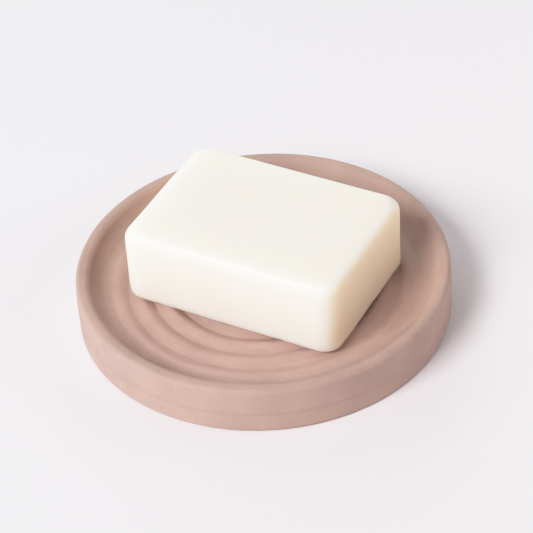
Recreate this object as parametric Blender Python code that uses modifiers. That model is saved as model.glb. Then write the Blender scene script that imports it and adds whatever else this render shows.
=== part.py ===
"""A rectangular bar of soap lying on a round cast soap dish whose floor carries concentric ribs.

Metres, +Z up. The origin is the centre of the dish's flat underside, and the bar's length runs along X.
Run it with: blender --background --python part.py
"""

import math

import bmesh
import bpy
from mathutils import Vector

# The dish, a solid of revolution about Z
DISH_RADIUS = 0.0650
DISH_HEIGHT = 0.0178
DISH_STEPS = 72
BASE_ROUND = 0.0010
RIM_OUTER_ROUND = 0.0017
RIM_INNER_ROUND = 0.0031
RIM_CROWN_INNER = 0.0622
COVE_SLOPE = math.radians(60)
ROUND_STEPS = 3
COVE_STEPS = 4

# The ribbed floor of the dish
RIB_COUNT = 6
RIB_PITCH = 0.0470 / RIB_COUNT
RIB_RISE = 0.0013
RIB_RISE_LOSS = 0.45
RIB_RISER_WIDTH = 0.0032
RIB_BEND = 1.5
RISER_STEPS = 3
FALL_STEPS = 3
VALLEY_HEIGHT = 0.0102
BOWL_RISE = 0.0010

# The bar of soap
SOAP_LENGTH = 0.0811
SOAP_WIDTH = 0.0581
SOAP_HEIGHT = 0.0281
SOAP_CORNER_ROUND = 0.0074
SOAP_TOP_ROUND = 0.0058
SOAP_BOTTOM_ROUND = 0.0016
SOAP_CORNER_STEPS = 7
SOAP_TOP_STEPS = 5
SOAP_BOTTOM_STEPS = 3
SOAP_OFF_CENTRE = (0.0007, 0.0005)
REST_GAP = 0.0005

SAME_HEIGHT = 0.000001
SAME_POINT = 0.00001
SMOOTH_BELOW = math.radians(20)

CASTING_COLOUR = (0.51, 0.342, 0.291)
CASTING_ROUGHNESS = 0.85
SOAP_COLOUR = (0.98, 0.845, 0.75)
SOAP_ROUGHNESS = 0.42
SOAP_TRANSLUCENCY = 1.0


def clear_scene():
    for thing in list(bpy.data.objects):
        bpy.data.objects.remove(thing)


def new_collection(name):
    collection = bpy.data.collections.new(name)
    bpy.context.scene.collection.children.link(collection)
    return collection


def new_material(name, colour, roughness, subsurface=0.0):
    material = bpy.data.materials.new(name)
    material.use_nodes = True
    shader = material.node_tree.nodes["Principled BSDF"]
    shader.inputs["Base Color"].default_value = (*colour, 1)
    shader.inputs["Roughness"].default_value = roughness
    shader.inputs["Metallic"].default_value = 0
    shader.inputs["Subsurface Weight"].default_value = subsurface
    return material


def new_object(name, mesh, collection, material):
    thing = bpy.data.objects.new(name, mesh)
    thing.data.materials.append(material)
    collection.objects.link(thing)
    return thing


def valley_height(radius):
    """Height of the line through the valleys, a shallow parabola."""
    return VALLEY_HEIGHT + BOWL_RISE * (radius / (RIB_COUNT * RIB_PITCH)) ** 2


def rib_rise(rib):
    """How far a rib stands above the valleys; the first is the tallest and the last the lowest."""
    return RIB_RISE * (1 - RIB_RISE_LOSS * ((rib - 1) / (RIB_COUNT - 1)) ** 2)


def rib_stretch(start, end, steps, shape):
    """Profile points from one radius to another, where shape gives the height above the valleys by share."""
    points = []
    for step in range(1, steps + 1):
        share = step / steps
        radius = start + share * (end - start)
        points.append(Vector((radius, 0, valley_height(radius) + shape(share))))
    return points


def rib_points():
    """The floor from the axis outwards: a boss, then ribs that each rise from a sharp valley and fall away."""
    rise = rib_rise(1)
    crest = 0
    points = [Vector((0, 0, VALLEY_HEIGHT + rise))]
    for rib in range(1, RIB_COUNT + 1):
        valley = rib * RIB_PITCH
        points += rib_stretch(crest, valley, FALL_STEPS,
                              lambda share: rise * (1 - math.sin(share * math.pi / 2) ** RIB_BEND))
        rise = rib_rise(rib)
        crest = valley + RIB_RISER_WIDTH
        points += rib_stretch(valley, crest, RISER_STEPS,
                              lambda share: rise * (1 - (1 - share) ** RIB_BEND))
    return points


def arc_points(centre, radius, start, end, steps):
    """Points on an arc in the XZ plane, from one angle above +X to another, both ends included."""
    angles = [start + (end - start) * step / steps for step in range(steps + 1)]
    return [centre + radius * Vector((math.cos(a), 0, math.sin(a))) for a in angles]


def rim_points(ledge):
    """The cove from the outermost ledge up to the rim's crown, and the crown's outer edge."""
    depth = DISH_HEIGHT - ledge.z
    cove_round = depth / (1 - math.cos(COVE_SLOPE)) - RIM_INNER_ROUND
    cove_start = RIM_CROWN_INNER - (cove_round + RIM_INNER_ROUND) * math.sin(COVE_SLOPE)
    down, up = -math.pi / 2, math.pi / 2
    cove = arc_points(Vector((cove_start, 0, ledge.z + cove_round)), cove_round,
                      down, down + COVE_SLOPE, COVE_STEPS)
    crown_inner = arc_points(Vector((RIM_CROWN_INNER, 0, DISH_HEIGHT - RIM_INNER_ROUND)),
                             RIM_INNER_ROUND, up + COVE_SLOPE, up, ROUND_STEPS)
    crown_outer = arc_points(Vector((DISH_RADIUS - RIM_OUTER_ROUND, 0, DISH_HEIGHT - RIM_OUTER_ROUND)),
                             RIM_OUTER_ROUND, up, 0, ROUND_STEPS)
    return cove + crown_inner[1:] + crown_outer


def dish_profile():
    """Half the dish's section, from the axis across the floor and rim, down the wall and back under the base."""
    floor = rib_points()
    base = arc_points(Vector((DISH_RADIUS - BASE_ROUND, 0, BASE_ROUND)), BASE_ROUND,
                      0, -math.pi / 2, ROUND_STEPS)
    return floor + rim_points(floor[-1]) + base + [Vector((0, 0, 0))]


def make_dish(collection):
    points = dish_profile()
    mesh = bpy.data.meshes.new("soap_dish")
    mesh.from_pydata(points, [(i, i + 1) for i in range(len(points) - 1)], [])
    dish = new_object("soap_dish", mesh, collection,
                      new_material("dusty_pink_casting", CASTING_COLOUR, CASTING_ROUGHNESS))
    turn = dish.modifiers.new("turn", "SCREW")
    turn.axis = "Z"
    turn.angle = 2 * math.pi
    turn.steps = DISH_STEPS
    turn.render_steps = DISH_STEPS
    turn.use_merge_vertices = True
    turn.merge_threshold = SAME_POINT
    turn.use_smooth_shade = True
    return dish


def level_edges(form, height):
    """The edges of a mesh that lie flat at one height."""
    return [edge for edge in form.edges if all(abs(v.co.z - height) < SAME_HEIGHT for v in edge.verts)]


def upright_edges(form):
    """The edges of a mesh that join two heights."""
    return [edge for edge in form.edges if abs(edge.verts[0].co.z - edge.verts[1].co.z) > SAME_HEIGHT]


def round_edges(form, edges, radius, steps):
    bmesh.ops.bevel(form, geom=edges, offset=radius, offset_type="OFFSET", segments=steps,
                    profile=0.5, affect="EDGES", clamp_overlap=False)


def make_soap(collection):
    """The bar: a box with its upright edges rounded first, then its top edge, then its bottom edge."""
    form = bmesh.new()
    bmesh.ops.create_cube(form, size=1)
    bmesh.ops.scale(form, vec=(SOAP_LENGTH, SOAP_WIDTH, SOAP_HEIGHT), verts=form.verts)
    round_edges(form, upright_edges(form), SOAP_CORNER_ROUND, SOAP_CORNER_STEPS)
    round_edges(form, level_edges(form, SOAP_HEIGHT / 2), SOAP_TOP_ROUND, SOAP_TOP_STEPS)
    round_edges(form, level_edges(form, -SOAP_HEIGHT / 2), SOAP_BOTTOM_ROUND, SOAP_BOTTOM_STEPS)
    mesh = bpy.data.meshes.new("soap_bar")
    form.to_mesh(mesh)
    form.free()
    mesh.shade_smooth()
    mesh.set_sharp_from_angle(angle=SMOOTH_BELOW)
    soap = new_object("soap_bar", mesh, collection,
                      new_material("ivory_soap", SOAP_COLOUR, SOAP_ROUGHNESS, SOAP_TRANSLUCENCY))
    highest_rib = max(point.z for point in rib_points() if point.x < SOAP_LENGTH / 2 + RIB_PITCH)
    soap.location = (*SOAP_OFF_CENTRE, highest_rib + REST_GAP + SOAP_HEIGHT / 2)
    return soap


def main():
    clear_scene()
    parts = new_collection("soap_bar_on_dish")
    make_dish(parts)
    make_soap(parts)


main()
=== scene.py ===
"""How the soap bar on its ribbed dish looks: fine meshes, materials, pale floor, soft light and camera.

Metres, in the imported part's frame: +Z up, +Y to the back, the bar's length along X, and the origin at the
centre of the dish's underside.
"""

import math

import bpy
from mathutils import Matrix, Vector, noise


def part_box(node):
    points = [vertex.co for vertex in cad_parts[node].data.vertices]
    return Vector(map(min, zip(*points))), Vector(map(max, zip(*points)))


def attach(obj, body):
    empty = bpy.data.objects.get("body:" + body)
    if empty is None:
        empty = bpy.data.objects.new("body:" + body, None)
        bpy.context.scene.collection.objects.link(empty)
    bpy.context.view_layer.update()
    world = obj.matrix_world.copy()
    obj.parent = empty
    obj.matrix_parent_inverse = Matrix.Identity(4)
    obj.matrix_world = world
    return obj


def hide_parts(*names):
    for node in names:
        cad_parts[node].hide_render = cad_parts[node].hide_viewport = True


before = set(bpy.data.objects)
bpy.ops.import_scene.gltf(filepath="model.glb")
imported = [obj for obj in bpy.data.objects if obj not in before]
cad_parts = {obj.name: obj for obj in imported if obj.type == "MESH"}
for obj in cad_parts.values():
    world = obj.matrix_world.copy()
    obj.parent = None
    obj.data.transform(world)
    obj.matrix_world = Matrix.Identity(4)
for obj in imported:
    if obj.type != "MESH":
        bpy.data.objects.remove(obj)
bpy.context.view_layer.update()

DISH_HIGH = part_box("soap_dish")[1]
SOAP_LOW, SOAP_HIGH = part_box("soap_bar")
MM = 0.001

# The dish's section, with the sizes that its solid was turned to
DISH_RADIUS = DISH_HIGH.x
DISH_HEIGHT = DISH_HIGH.z
BASE_ROUND = 1.0 * MM
RIM_OUTER_ROUND = 1.7 * MM
RIM_INNER_ROUND = 3.1 * MM
RIM_CROWN_INNER = 62.2 * MM
COVE_SLOPE = math.radians(60)
RIB_COUNT = 6
RIB_PITCH = 47.0 * MM / RIB_COUNT
RIB_RISE = 1.3 * MM
RIB_RISE_LOSS = 0.45
RIB_RISER_WIDTH = 3.2 * MM
RIB_BEND = 1.5
VALLEY_HEIGHT = 10.2 * MM
BOWL_RISE = 1.0 * MM

# What the solid lacks: the parting line left by the mould, the lean of the wall above it, its flare below,
# and the unevenness of the whole casting
SEAM_HEIGHT = 0.41 * DISH_HEIGHT
SEAM_STEP = 0.38 * MM
SEAM_HALF_HEIGHT = 0.8 * MM
WALL_LEAN = 0.25 * MM
WALL_FLARE = 0.30 * MM
CAST_WOBBLE = 0.06 * MM
CAST_WOBBLE_LENGTH = 22 * MM

# How finely the dish is divided
DISH_TURN_STEPS = 288
DISH_SMOOTH_ANGLE = math.radians(40)
RISER_STEPS = 8
FALL_STEPS = 10
LEDGE_STEPS = 2
COVE_STEPS = 14
RIM_STEPS = 9
WALL_STEPS = 40
BASE_STEPS = 5

# The bar of soap. Its corners run back right, back left, front left, front right. The near edges are the
# front and right ones, and the far edges the back and left ones. An edge's section is a run of arcs, each
# with its tilt in degrees at the start, its tilt at the end, and its radius.
SOAP_CORNER_ROUNDS = (7.4 * MM, 7.4 * MM, 7.4 * MM, 6.6 * MM)
SOAP_CORNER_WEAR = (2.5 * MM, 0.8 * MM, 0.8 * MM, 0.3 * MM)
SOAP_NEAR_EDGE = ((0, 8, 40 * MM), (8, 78, 2.6 * MM), (78, 90, 10 * MM))
SOAP_FAR_EDGE = ((0, 7, 50 * MM), (7, 90, 6.0 * MM))
SOAP_BOTTOM_EDGE = ((0, 90, 1.6 * MM),)
SOAP_NEAR_CROWN = 2.4 * MM
SOAP_FAR_CROWN = 5.3 * MM
SOAP_WEAR_DEPTH = 4 * MM
SOAP_SWELL = 0.12 * MM
SOAP_SWELL_LENGTH = 19 * MM
EDGE_WOBBLE = 0.30 * MM
EDGE_WOBBLE_LENGTH = 5 * MM
EDGE_WOBBLE_LEVEL = 0.2
EDGE_WOBBLE_FALL = 8
PIT_PLACE = (18.4 * MM, -24.5 * MM)
PIT_RADIUS = 0.7 * MM
PIT_DEPTH = 0.35 * MM

# How finely the bar is divided
NEAR_EDGE_STEPS = (8, 18, 8)
FAR_EDGE_STEPS = (8, 24)
BOTTOM_EDGE_STEPS = (9,)
SOAP_FLAT_STEPS = 26
SOAP_SIDE_STEPS = 18
SOAP_UNDERSIDE_STEPS = 16
SOAP_LENGTH_STEPS = 110
SOAP_WIDTH_STEPS = 78
SOAP_CORNER_STEPS = 16
THINNEST_ROUND = 0.02 * MM
SAME_DROP_DIGITS = 7


def arc(centre, radius, start, end, steps):
    """Points (r, z) on an arc from one angle above +r to another, both ends included."""
    angles = [start + (end - start) * i / steps for i in range(steps + 1)]
    return [(centre[0] + radius * math.cos(a), centre[1] + radius * math.sin(a)) for a in angles]


def straight(start, end, steps):
    """Points (r, z) from one point to another, without the first."""
    shares = [i / steps for i in range(1, steps + 1)]
    return [tuple(a + (b - a) * s for a, b in zip(start, end)) for s in shares]


# --- The dish ---------------------------------------------------------------------------------


def valley_height(radius):
    """Height of the line through the valleys, a shallow parabola."""
    return VALLEY_HEIGHT + BOWL_RISE * (radius / (RIB_COUNT * RIB_PITCH)) ** 2


def rib_rise(rib):
    """How far a rib stands above the valleys; the first is the tallest and the last the lowest."""
    return RIB_RISE * (1 - RIB_RISE_LOSS * ((rib - 1) / (RIB_COUNT - 1)) ** 2)


def rib_stretch(start, end, steps, shape):
    """Points (r, z) between two radii, without the first; shape gives the height above the valleys."""
    radii = [start + (end - start) * i / steps for i in range(1, steps + 1)]
    return [(r, valley_height(r) + shape((r - start) / (end - start))) for r in radii]


def floor_points():
    """The floor from the axis outwards: a boss, then ribs that rise from a sharp valley and fall away."""
    points = []
    rise = rib_rise(1)
    crest = 0
    for rib in range(1, RIB_COUNT + 1):
        valley = rib * RIB_PITCH
        points += rib_stretch(crest, valley, FALL_STEPS,
                              lambda share: rise * (1 - math.sin(share * math.pi / 2) ** RIB_BEND))
        rise = rib_rise(rib)
        crest = valley + RIB_RISER_WIDTH
        points += rib_stretch(valley, crest, RISER_STEPS,
                              lambda share: rise * (1 - max(0, 1 - share) ** RIB_BEND))
    return points


def wall_inset(height):
    """How far the wall stands in from the dish's radius.

    It leans in above the parting line, steps in at the line and flares out again under it.
    """
    lean = WALL_LEAN * max(0, height - SEAM_HEIGHT) / (DISH_HEIGHT - SEAM_HEIGHT)
    flare = WALL_FLARE * max(0, SEAM_HEIGHT - height) / SEAM_HEIGHT
    stepped = 0.5 + 0.5 * math.tanh((SEAM_HEIGHT - height) / SEAM_HALF_HEIGHT)
    return lean + SEAM_STEP * stepped - flare


def dish_section():
    """The dish's half section from the first point off the axis, over floor, rim and wall, to the base."""
    points = floor_points()
    ledge = points[-1]
    cove_round = (DISH_HEIGHT - ledge[1]) / (1 - math.cos(COVE_SLOPE)) - RIM_INNER_ROUND
    cove_start = RIM_CROWN_INNER - (cove_round + RIM_INNER_ROUND) * math.sin(COVE_SLOPE)
    down, up = -math.pi / 2, math.pi / 2
    points += straight(ledge, (cove_start, ledge[1]), LEDGE_STEPS)
    cove_centre = (cove_start, ledge[1] + cove_round)
    points += arc(cove_centre, cove_round, down, down + COVE_SLOPE, COVE_STEPS)[1:]
    crown_centre = (RIM_CROWN_INNER, DISH_HEIGHT - RIM_INNER_ROUND)
    points += arc(crown_centre, RIM_INNER_ROUND, up + COVE_SLOPE, up, RIM_STEPS)[1:]
    shoulder = DISH_HEIGHT - RIM_OUTER_ROUND
    rim_centre = (DISH_RADIUS - RIM_OUTER_ROUND - wall_inset(shoulder), shoulder)
    points += arc(rim_centre, RIM_OUTER_ROUND, up, 0, RIM_STEPS)
    wall = straight((DISH_RADIUS, shoulder), (DISH_RADIUS, BASE_ROUND), WALL_STEPS)
    points += [(radius - wall_inset(height), height) for radius, height in wall]
    base_centre = (DISH_RADIUS - BASE_ROUND - wall_inset(BASE_ROUND), BASE_ROUND)
    points += arc(base_centre, BASE_ROUND, 0, down, BASE_STEPS)[1:]
    return points


def ring_mesh(name, first_centre, rings, last_centre):
    """A closed mesh through rings of points that all have the same count, capped by a fan at each end."""
    count = len(rings[0])
    points = [first_centre] + [p for ring in rings for p in ring] + [last_centre]
    faces = []
    for i in range(count):
        j = (i + 1) % count
        faces.append((0, 1 + i, 1 + j))
        for k in range(len(rings) - 1):
            a, b = 1 + k * count, 1 + (k + 1) * count
            faces.append((a + i, b + i, b + j, a + j))
        last = 1 + (len(rings) - 1) * count
        faces.append((last + i, len(points) - 1, last + j))
    mesh = bpy.data.meshes.new(name)
    mesh.from_pydata(points, [], faces)
    mesh.validate()
    mesh.update()
    return mesh


def new_piece(name, mesh, material):
    piece = bpy.data.objects.new(name, mesh)
    bpy.context.scene.collection.objects.link(piece)
    mesh.materials.append(material)
    return piece


def cast_point(radius, angle, height):
    """A point of the casting, off its true turned surface by the slight unevenness that a mould leaves."""
    point = Vector((radius * math.cos(angle), radius * math.sin(angle), height))
    lift = noise.noise(point / CAST_WOBBLE_LENGTH) * CAST_WOBBLE
    share = min(1, height / DISH_HEIGHT)
    return point * (1 - abs(lift) / DISH_RADIUS) - Vector((0, 0, abs(lift) * share))


def make_dish(material):
    turns = [2 * math.pi * i / DISH_TURN_STEPS for i in range(DISH_TURN_STEPS)]
    rings = [[cast_point(radius, a, height) for a in turns] for radius, height in dish_section()]
    centre = Vector((0, 0, VALLEY_HEIGHT + RIB_RISE))
    mesh = ring_mesh("cast_dish", centre, rings, Vector((0, 0, 0)))
    mesh.shade_smooth()
    mesh.set_sharp_from_angle(angle=DISH_SMOOTH_ANGLE)
    dish = new_piece("cast_dish", mesh, material)
    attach(dish, "dish")
    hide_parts("soap_dish")


# --- The bar of soap ---------------------------------------------------------------------------


def plan_outline(low, high, rounds, z):
    """A rectangle at one height with its own radius at each corner, as points all the way round."""
    corners = [(high, high, 1, 1), (low, high, -1, 1), (low, low, -1, -1), (high, low, 1, -1)]
    arcs = []
    for k, ((at_x, at_y, side_x, side_y), radius) in enumerate(zip(corners, rounds)):
        x, y = at_x[0] - side_x * radius, at_y[1] - side_y * radius
        turns = [k + i / SOAP_CORNER_STEPS for i in range(SOAP_CORNER_STEPS + 1)]
        angles = [math.pi / 2 * turn for turn in turns]
        arcs.append([Vector((x + radius * math.cos(a), y + radius * math.sin(a), z)) for a in angles])
    points = []
    for k, bend in enumerate(arcs):
        end = arcs[(k + 1) % 4][0]
        count = SOAP_LENGTH_STEPS if k % 2 == 0 else SOAP_WIDTH_STEPS
        points += bend + [bend[-1].lerp(end, i / count) for i in range(1, count)]
    return points


def edge_section(arcs, steps):
    """Insets and drops over a rounded edge, from the flat face outwards; arcs are (tilt, tilt, radius)."""
    turns = [(math.radians(start), math.radians(end), radius) for start, end, radius in arcs]
    inset = sum(radius * (math.sin(end) - math.sin(start)) for start, end, radius in turns)
    drop = 0
    section = [(inset, drop)]
    for (start, end, radius), count in zip(turns, steps):
        for i in range(count):
            now, then = (start + (end - start) * (i + k) / count for k in (0, 1))
            inset -= radius * (math.sin(then) - math.sin(now))
            drop += radius * (math.cos(now) - math.cos(then))
            section.append((max(inset, 0), drop))
    return section


def inset_at(section, drop):
    """How far a rounded edge stands in from its side, at a drop under the face."""
    for (inset, above), (next_inset, below) in zip(section, section[1:]):
        if drop <= below:
            return inset + (next_inset - inset) * (drop - above) / (below - above)
    return 0


def soap_rings(size):
    """Rings from the middle of the top outwards, down the sides and under to the middle of the bottom."""
    half_length, half_width = size.x / 2, size.y / 2
    top, bottom = size.z / 2, -size.z / 2
    near = edge_section(SOAP_NEAR_EDGE, NEAR_EDGE_STEPS)
    far = edge_section(SOAP_FAR_EDGE, FAR_EDGE_STEPS)
    under = edge_section(SOAP_BOTTOM_EDGE, BOTTOM_EDGE_STEPS)

    def ring(right, back, left, front, rounds, z, share=1):
        """A ring from how far in each side stands; a share under 1 draws it towards the middle."""
        low, high = (left - half_length, front - half_width), (half_length - right, half_width - back)
        low, high = ([place * share for place in corner] for corner in (low, high))
        return plan_outline(low, high, [max(r * share, THINNEST_ROUND) for r in rounds], z)

    def upper_ring(drop, share=1):
        """A ring of the top or a side; its corners are worn more the nearer it is to the top."""
        close, away = inset_at(near, drop), inset_at(far, drop)
        shrink_near = min(close, SOAP_NEAR_CROWN) - max(close - SOAP_NEAR_CROWN, 0) / 2
        shrink_far = min(away, SOAP_FAR_CROWN) - max(away - SOAP_FAR_CROWN, 0) / 2
        mixed = (shrink_near + shrink_far) / 2
        worn = max(0, 1 - drop / SOAP_WEAR_DEPTH) ** 2
        shrinks = (mixed, shrink_far, mixed, shrink_near)
        rounds = [r - s + w * worn for r, s, w in zip(SOAP_CORNER_ROUNDS, shrinks, SOAP_CORNER_WEAR)]
        return ring(close, away, away, close, rounds, top - drop, share)

    def lower_ring(inset, drop, share=1):
        rounds = [r - inset for r in SOAP_CORNER_ROUNDS]
        return ring(inset, inset, inset, inset, rounds, bottom + drop, share)

    drops = sorted({round(drop, SAME_DROP_DIGITS) for _, drop in near + far})
    straight_part = size.z - under[-1][1] - drops[-1]
    sides = [drops[-1] + straight_part * i / SOAP_SIDE_STEPS for i in range(1, SOAP_SIDE_STEPS)]
    rings = [upper_ring(0, i / SOAP_FLAT_STEPS) for i in range(1, SOAP_FLAT_STEPS)]
    rings += [upper_ring(drop) for drop in drops + sides]
    rings += [lower_ring(inset, drop) for inset, drop in under[::-1]]
    shares = [i / SOAP_UNDERSIDE_STEPS for i in range(SOAP_UNDERSIDE_STEPS - 1, 0, -1)]
    return rings + [lower_ring(*under[0], share) for share in shares]


def soap_point(point, size):
    """A point of the bar after swelling, the knocks along its lower edge and one small pit in its top."""
    swell = noise.noise(point / SOAP_SWELL_LENGTH) * SOAP_SWELL
    outward = Vector((point.x / size.x, point.y / size.y, point.z / size.z)).normalized()
    low = max(0, -point.z / size.z * 2) ** EDGE_WOBBLE_FALL
    dent = (noise.noise(point / EDGE_WOBBLE_LENGTH) - EDGE_WOBBLE_LEVEL) * EDGE_WOBBLE * low
    side = Vector((point.x, point.y, 0)).normalized()
    pit = 0
    if point.z > 0:
        away = math.dist((point.x, point.y), PIT_PLACE) / PIT_RADIUS
        pit = PIT_DEPTH * math.exp(-away ** 4)
    return point + outward * swell + side * dent - Vector((0, 0, pit))


def make_soap(material):
    size = SOAP_HIGH - SOAP_LOW
    rings = [[soap_point(p, size) for p in ring] for ring in soap_rings(size)]
    top, bottom = (soap_point(Vector((0, 0, z)), size) for z in (size.z / 2, -size.z / 2))
    mesh = ring_mesh("moulded_soap_bar", top, rings, bottom)
    mesh.shade_smooth()
    soap = new_piece("moulded_soap_bar", mesh, material)
    soap.location = (SOAP_HIGH + SOAP_LOW) / 2
    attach(soap, "soap")
    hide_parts("soap_bar")


# --- Materials ---------------------------------------------------------------------------------


def new_material(name, **values):
    material = bpy.data.materials.new(name)
    material.use_nodes = True
    shader = material.node_tree.nodes["Principled BSDF"]
    for socket, value in values.items():
        shader.inputs[socket.replace("_", " ")].default_value = value
    return material, shader


def add_node(tree, kind, inputs=None, **settings):
    """A new node with its settings, and a value or another node's socket for each input that is named."""
    node = tree.nodes.new(kind)
    for name, value in settings.items():
        setattr(node, name, value)
    for name, value in (inputs or {}).items():
        if isinstance(value, bpy.types.NodeSocket):
            tree.links.new(value, node.inputs[name])
        else:
            node.inputs[name].default_value = value
    return node


def add_maths(tree, operation, *values):
    return add_node(tree, "ShaderNodeMath", dict(enumerate(values)), operation=operation).outputs[0]


def add_noise(tree, coordinates, size, detail=3.0, roughness=0.55, **inputs):
    """Noise from 0 to 1 whose features are about as large as the size given, in metres."""
    inputs.update({"Vector": coordinates, "Scale": 1 / size, "Detail": detail, "Roughness": roughness})
    dimensions = "4D" if "W" in inputs else "3D"
    return add_node(tree, "ShaderNodeTexNoise", inputs, noise_dimensions=dimensions).outputs["Fac"]


def add_ramp(tree, value, stops):
    """A colour ramp through (place, colour) stops."""
    ramp = add_node(tree, "ShaderNodeValToRGB", {"Fac": value})
    elements = ramp.color_ramp.elements
    while len(elements) < len(stops):
        elements.new(0.5)
    for element, (place, colour) in zip(elements, stops):
        element.position = place
        element.color = (*colour, 1)
    return ramp.outputs["Color"]


def add_bump(tree, height, depth, under=None):
    """Relief of a depth in metres from a height between 0 and 1."""
    inputs = {"Height": height, "Distance": depth, "Strength": 1.0}
    if under is not None:
        inputs["Normal"] = under
    return add_node(tree, "ShaderNodeBump", inputs).outputs["Normal"]


def add_range(tree, value, low, high, start=0.3, end=0.7):
    """The value carried from the start-end range to the low-high one."""
    inputs = {"Value": value, "From Min": start, "From Max": end, "To Min": low, "To Max": high}
    return add_node(tree, "ShaderNodeMapRange", inputs).outputs["Result"]


def tinted_stops(colour, stops):
    """Ramp stops of one colour, from (place, factor on the colour) pairs."""
    return [(place, tuple(channel * factor for channel in colour)) for place, factor in stops]


# The casting. Its tone mixes clouds, lines and grain in the shares given, and each stop is a tone with the
# factor on the colour there. The slopes are the upward parts of the normal where marks or streaks set in
# and where they are full.
CASTING_COLOUR = (0.508, 0.347, 0.294)
CASTING_STOPS = ((0.36, 0.88), (0.50, 1.0), (0.64, 1.10))
CASTING_SHARES = (0.44, 0.34, 0.22)
CASTING_ROUGHNESS = (0.92, 0.76)
CLOUD_SIZE = 16 * MM
GRAIN_SIZE = 0.5 * MM
LINE_PITCH = 0.8 * MM
LINE_SPREAD = 1.2 * MM
STREAK_PITCH = 2.4 * MM
STREAK_SPREAD = 7 * MM
STREAK_TONE = 0.07
STREAK_SLOPES = (0.3, 0.9)
MARK_SLOPES = (0.2, 0.9)
WALL_MARK_SHARE = 0.35
MARK_DEPTH = 0.07 * MM
GRAIN_DEPTH = 0.06 * MM


def casting_material():
    """Matt cast stone in dusty pink: cloudy colour, fine grain, and faint lines and streaks round it."""
    material, shader = new_material("dusty_pink_casting", Roughness=0.85, Specular_IOR_Level=0.35)
    tree = material.node_tree
    coordinates = add_node(tree, "ShaderNodeTexCoord").outputs
    place = coordinates["Object"]
    split = add_node(tree, "ShaderNodeSeparateXYZ", {"Vector": place})
    x, y, z = (split.outputs[axis] for axis in "XYZ")
    flat = add_node(tree, "ShaderNodeCombineXYZ", {"X": x, "Y": y, "Z": 0.0}).outputs[0]
    radius = add_node(tree, "ShaderNodeVectorMath", {0: flat}, operation="LENGTH").outputs["Value"]
    around = add_node(tree, "ShaderNodeVectorMath", {0: flat}, operation="NORMALIZE").outputs["Vector"]
    heading = add_node(tree, "ShaderNodeSeparateXYZ", {"Vector": around})
    level = add_maths(tree, "MULTIPLY", z, 1 / LINE_PITCH)

    def turned(spread):
        """Coordinates in which noise is drawn out round the dish, the less so the larger the spread."""
        return add_node(tree, "ShaderNodeCombineXYZ", {
            "X": radius,
            "Y": add_maths(tree, "MULTIPLY", heading.outputs["X"], spread),
            "Z": add_maths(tree, "MULTIPLY", heading.outputs["Y"], spread),
        }).outputs[0]

    lines = add_noise(tree, turned(LINE_SPREAD), LINE_PITCH, detail=2.0, W=level)
    streaks = add_noise(tree, turned(STREAK_SPREAD), STREAK_PITCH, detail=3.0, roughness=0.6)
    clouds = add_noise(tree, place, CLOUD_SIZE, detail=5.0, roughness=0.6)
    grain = add_noise(tree, place, GRAIN_SIZE, detail=3.0, roughness=0.7)
    parts = zip((clouds, lines, grain), CASTING_SHARES)
    weighted = [add_maths(tree, "MULTIPLY", part, share) for part, share in parts]
    tone = add_maths(tree, "ADD", add_maths(tree, "ADD", weighted[0], weighted[1]), weighted[2])
    upward = add_node(tree, "ShaderNodeSeparateXYZ", {"Vector": coordinates["Normal"]}).outputs["Z"]
    on_floor = add_range(tree, upward, 0, 1, *STREAK_SLOPES)
    swept = add_maths(tree, "MULTIPLY", add_range(tree, streaks, -STREAK_TONE, STREAK_TONE), on_floor)
    tone = add_maths(tree, "ADD", tone, swept)
    colour = add_ramp(tree, tone, tinted_stops(CASTING_COLOUR, CASTING_STOPS))
    tree.links.new(colour, shader.inputs["Base Color"])
    tree.links.new(add_range(tree, tone, *CASTING_ROUGHNESS), shader.inputs["Roughness"])
    by_slope = add_range(tree, upward, WALL_MARK_SHARE, 1, *MARK_SLOPES)
    marks = add_maths(tree, "MULTIPLY", lines, by_slope)
    relief = add_bump(tree, marks, MARK_DEPTH)
    tree.links.new(add_bump(tree, grain, GRAIN_DEPTH, relief), shader.inputs["Normal"])
    return material


# The soap. The end tint is painted shade; it sets in where a face starts to turn towards an end, and is
# full on the end itself.
SOAP_COLOUR = (0.990, 0.838, 0.745)
SOAP_STOPS = ((0.35, 0.992), (0.65, 1.008))
# Painted shade: a warm yellow on faces turned towards the ends, standing in for the warmer colour of the
# shaded end
SOAP_END_PAINTED_SHADE = (0.96, 0.90, 0.745)
SOAP_END_SLOPES = (0.60, 0.98)
SOAP_ROUGHNESS = (0.36, 0.50)
SOAP_CLOUD_SIZE = 14 * MM
SOAP_SKIN_SIZE = 1.6 * MM
SOAP_SKIN_DEPTH = 0.03 * MM


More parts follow.
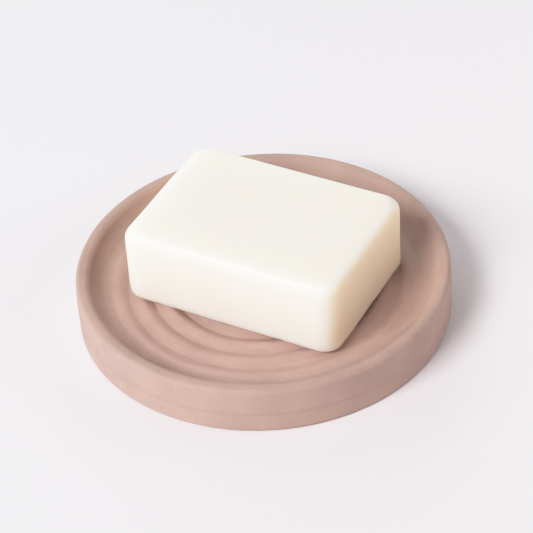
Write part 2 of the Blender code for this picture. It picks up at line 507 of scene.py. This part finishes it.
def soap_material():
    """Ivory soap: light goes a little way in, the ends get a painted warm shade, and the waxy skin is
    finely uneven.
    """
    material, shader = new_material(
        "ivory_soap", Roughness=0.42, IOR=1.46, Subsurface_Weight=1.0,
        Subsurface_Radius=(1.0, 0.95, 0.8), Subsurface_Scale=8 * MM, Subsurface_Anisotropy=0.0)
    tree = material.node_tree
    coordinates = add_node(tree, "ShaderNodeTexCoord").outputs
    place = coordinates["Object"]
    clouds = add_noise(tree, place, SOAP_CLOUD_SIZE, detail=4.0, roughness=0.5)
    skin = add_noise(tree, place, SOAP_SKIN_SIZE, detail=4.0, roughness=0.6)
    colour = add_ramp(tree, clouds, tinted_stops(SOAP_COLOUR, SOAP_STOPS))
    along = add_node(tree, "ShaderNodeSeparateXYZ", {"Vector": coordinates["Normal"]}).outputs["X"]
    # Painted shade: faces turned towards the ends are tinted yellower
    endwards = add_maths(tree, "ABSOLUTE", along)
    ends = add_ramp(tree, endwards, list(zip(SOAP_END_SLOPES, ((1, 1, 1), SOAP_END_PAINTED_SHADE))))
    tinted = add_node(tree, "ShaderNodeVectorMath", {0: colour, 1: ends}, operation="MULTIPLY")
    tree.links.new(tinted.outputs[0], shader.inputs["Base Color"])
    tree.links.new(add_range(tree, skin, *SOAP_ROUGHNESS), shader.inputs["Roughness"])
    tree.links.new(add_bump(tree, skin, SOAP_SKIN_DEPTH), shader.inputs["Normal"])
    return material


FLOOR_TOOTH = 1.5 * MM
FLOOR_SHADES = ((0.850, 0.812, 0.842), (0.870, 0.832, 0.862))
FLOOR_STOPS = (0.3, 0.7)


def floor_material():
    """A pale, matt studio sheet with a trace of paper tooth."""
    material, shader = new_material("pale_floor", Roughness=0.9, Specular_IOR_Level=0.1)
    tree = material.node_tree
    place = add_node(tree, "ShaderNodeTexCoord").outputs["Object"]
    tooth = add_noise(tree, place, FLOOR_TOOTH, detail=3.0)
    shades = list(zip(FLOOR_STOPS, FLOOR_SHADES))
    tree.links.new(add_ramp(tree, tooth, shades), shader.inputs["Base Color"])
    return material


# --- Stage, light and camera --------------------------------------------------------------------

FLOOR_HALF = 3.0
FLOOR_GAP = 0.05 * MM
WORLD_COLOUR = (1, 0.93, 0.93, 1)
WORLD_STRENGTH = 0.262
CAMERA_AZIMUTH = math.radians(29.85)
CAMERA_ELEVATION = math.radians(39.83)
CAMERA_ROLL = math.radians(-3.95)
CAMERA_DISTANCE = 0.7712
CAMERA_LENS_MM = 150.0
CAMERA_CLIP_START = 0.01
SENSOR_MM = 36.0
AIM_ABOVE = 5.94 * MM
AIM_ASIDE = 0.87 * MM

# One large soft source in front on the left, and weak fill from the other sides. Each row is a name, an
# azimuth and elevation in degrees, a distance and size in metres, a power in watts and a colour.
LAMPS = (
    ("key_softbox", -18.5, 40.3, 2.5, (1.25, 1.0), 66.7, (1.0, 0.99, 0.98)),
    ("back_left_card", 210, 12, 1.5, (0.8, 0.8), 6.9, (0.93, 1.0, 0.88)),
    ("back_fill", 240, 35, 1.5, (0.8, 0.8), 3.8, (0.82, 0.92, 1.0)),
    ("cool_left_card", 300, 12, 1.5, (0.8, 0.8), 6.0, (0.36, 0.76, 1.0)),
    ("right_card", 120, 25, 0.6, (0.4, 0.4), 1.0, (1.0, 1.0, 1.0)),
)


def direction(azimuth, elevation):
    """Unit vector from the object towards a viewer or a lamp; azimuth 0 is on -Y and 90 degrees on +X."""
    flat = math.cos(elevation)
    return Vector((math.sin(azimuth) * flat, -math.cos(azimuth) * flat, math.sin(elevation)))


def facing(towards, up):
    """Rotation of a camera or lamp that looks along one direction, with up as near as it can be."""
    back = -towards.normalized()
    right = up.cross(back).normalized()
    return Matrix((right, back.cross(right), back)).transposed()


def make_camera():
    target = Vector((0, 0, DISH_HEIGHT / 2))
    back = direction(CAMERA_AZIMUTH, CAMERA_ELEVATION)
    level = Vector((0, 0, 1)).cross(back).normalized()
    upright = back.cross(level)
    right = math.cos(CAMERA_ROLL) * level + math.sin(CAMERA_ROLL) * upright
    up = math.cos(CAMERA_ROLL) * upright - math.sin(CAMERA_ROLL) * level
    data = bpy.data.cameras.new("camera")
    data.lens = CAMERA_LENS_MM
    data.sensor_width = SENSOR_MM
    data.clip_start = CAMERA_CLIP_START
    camera = bpy.data.objects.new("camera", data)
    bpy.context.scene.collection.objects.link(camera)
    place = target + back * CAMERA_DISTANCE
    aim = target + up * AIM_ABOVE + right * AIM_ASIDE
    camera.matrix_world = Matrix.Translation(place) @ facing(aim - place, up).to_4x4()
    bpy.context.scene.camera = camera


def make_lamp(name, azimuth, elevation, distance, size, watts, colour):
    """A soft rectangular source turned towards the dish; its size is a width and a height."""
    data = bpy.data.lights.new(name, "AREA")
    data.shape = "RECTANGLE"
    data.size, data.size_y = size
    data.energy = watts
    data.color = colour
    lamp = bpy.data.objects.new(name, data)
    bpy.context.scene.collection.objects.link(lamp)
    towards = direction(math.radians(azimuth), math.radians(elevation))
    turn = facing(-towards, Vector((0, 0, 1))).to_4x4()
    lamp.matrix_world = Matrix.Translation(towards * distance) @ turn


def make_floor():
    mesh = bpy.data.meshes.new("floor")
    signs = ((-1, -1), (1, -1), (1, 1), (-1, 1))
    mesh.from_pydata([(x * FLOOR_HALF, y * FLOOR_HALF, 0) for x, y in signs], [], [(0, 1, 2, 3)])
    floor = new_piece("floor", mesh, floor_material())
    floor.location.z = -FLOOR_GAP


def make_world():
    world = bpy.data.worlds.new("studio")
    world.use_nodes = True
    background = world.node_tree.nodes["Background"]
    background.inputs["Color"].default_value = WORLD_COLOUR
    background.inputs["Strength"].default_value = WORLD_STRENGTH
    bpy.context.scene.world = world


SHOULDER_START = 0.5
SHOULDER_WHITE = 2.0
SHOULDER_PLACES = (0.2, 0.4, 0.5, 0.6, 0.75, 0.9, 1.1, 1.35, 1.65)


def shown_at(light):
    """A camera's response: true up to the shoulder, and above it ever closer to white without clipping."""
    if light < SHOULDER_START:
        return light
    room = 1 - SHOULDER_START
    return SHOULDER_START + room * math.tanh((light - SHOULDER_START) / room)


def soften_highlights():
    view = bpy.context.scene.view_settings
    view.view_transform = "Standard"
    view.use_curve_mapping = True
    mapping = view.curve_mapping
    mapping.white_level = (SHOULDER_WHITE,) * 3
    mapping.use_clip = False
    curve = mapping.curves[3]
    for light in SHOULDER_PLACES:
        curve.points.new(light / SHOULDER_WHITE, shown_at(light))
    curve.points[-1].location = (1, shown_at(SHOULDER_WHITE))
    mapping.update()


make_camera()
for lamp_row in LAMPS:
    make_lamp(*lamp_row)
make_floor()
make_world()
soften_highlights()
make_dish(casting_material())
make_soap(soap_material())
